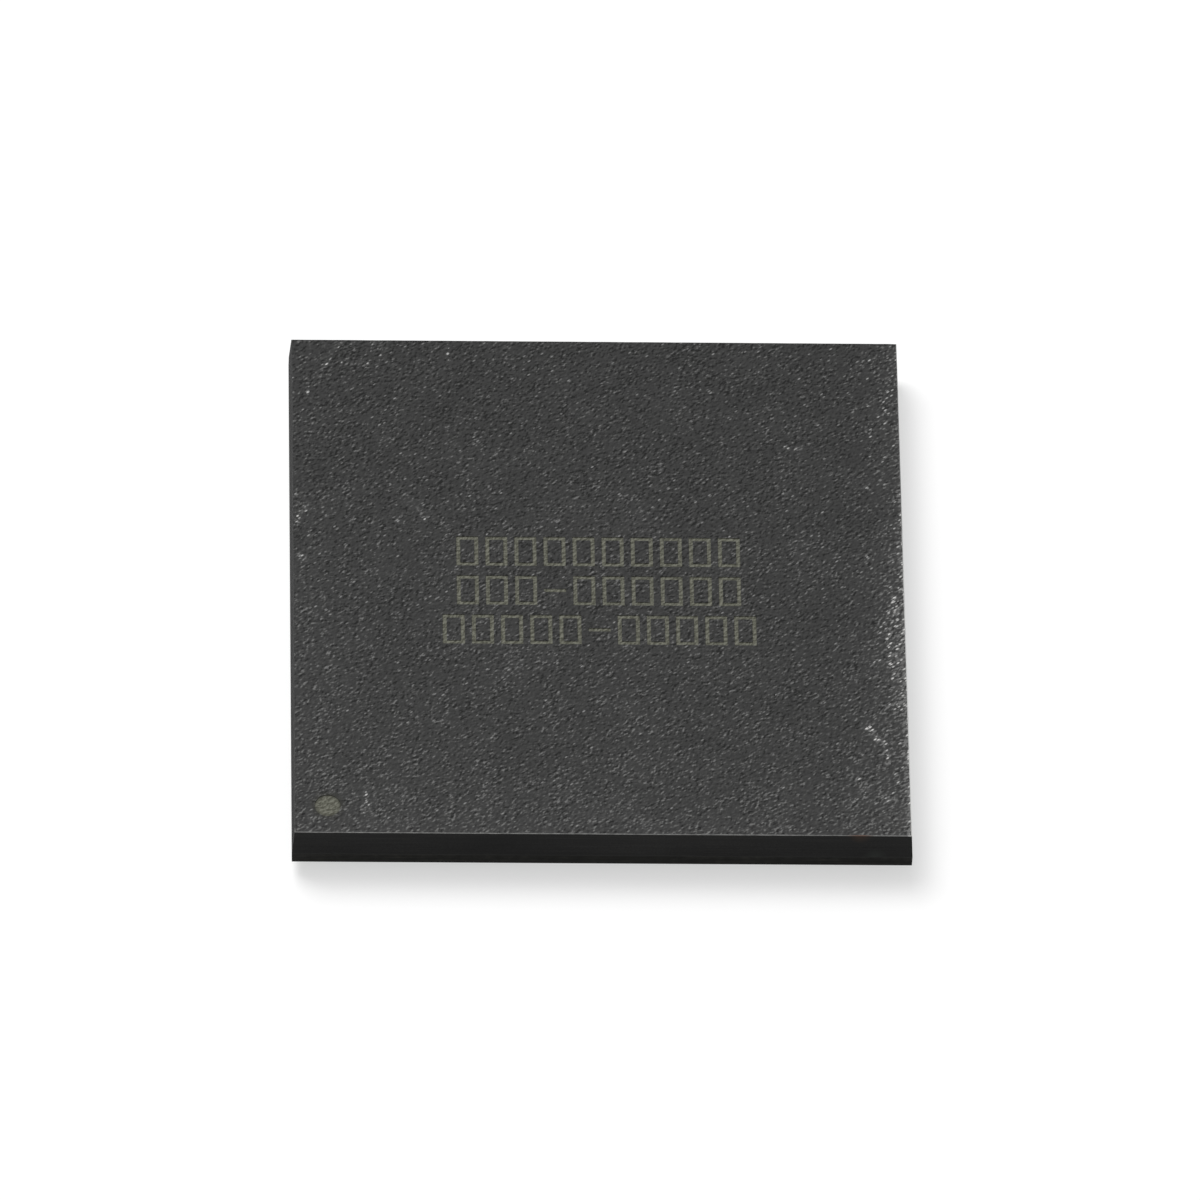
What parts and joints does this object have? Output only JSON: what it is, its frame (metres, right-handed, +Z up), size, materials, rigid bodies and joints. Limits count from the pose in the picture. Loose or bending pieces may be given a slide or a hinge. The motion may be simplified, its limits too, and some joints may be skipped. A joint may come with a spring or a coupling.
{
  "type": "ball grid array package",
  "caption": "Thin square moulded chip package with a flat matte black top, an orientation dot at one corner and a full grid of solder balls underneath.",
  "frame": {"origin": "middle of the ball grid, on the plane that the ball tips rest on", "axes": "+Z up through the marked top of the cap; X and Y along the sides; the A1 corner with its dot is at -X -Y; ball rows A to V run along Y and follow one another along +X; the pictured front side faces -Y"},
  "size_m": [0.015, 0.015, 0.0015],
  "materials": {
    "mould_compound": "black epoxy moulding compound, fine matte texture on top, plain sawn sides",
    "solder_mask": "dark green solder mask, satin",
    "laminate": "sawn edge of black-brown glass laminate, matte",
    "solder": "reflowed tin-silver-copper solder, smooth satin",
    "copper": "bare copper",
    "gold_on_copper": "copper with a thin gold plating",
    "gold_wire": "drawn gold wire",
    "silicon": "polished silicon",
    "die_adhesive": "silver-filled epoxy, matte"
  },
  "bodies": {
    "root": {"mold_cap": "mould_compound", "die": "silicon", "die_attach": "die_adhesive", "top_solder_mask": "solder_mask", "bottom_solder_mask": "solder_mask", "substrate_core": "laminate", "ground_paddle": "copper", "power_pours": "copper", "plated_vias": "copper", "ball_pads": "copper", "signal_traces_right": "gold_on_copper", "signal_traces_back": "gold_on_copper", "signal_traces_left": "gold_on_copper", "signal_traces_front": "gold_on_copper", "bond_wires_right": "gold_wire", "bond_wires_back": "gold_wire", "bond_wires_left": "gold_wire", "bond_wires_front": "gold_wire", "ball_row_a": "solder", "ball_row_b": "solder", "ball_row_c": "solder", "ball_row_d": "solder", "ball_row_e": "solder", "ball_row_f": "solder", "ball_row_g": "solder", "ball_row_h": "solder", "ball_row_j": "solder", "ball_row_k": "solder", "ball_row_l": "solder", "ball_row_m": "solder", "ball_row_n": "solder", "ball_row_p": "solder", "ball_row_r": "solder", "ball_row_t": "solder", "ball_row_u": "solder", "ball_row_v": "solder"}
  },
  "joints": []
}
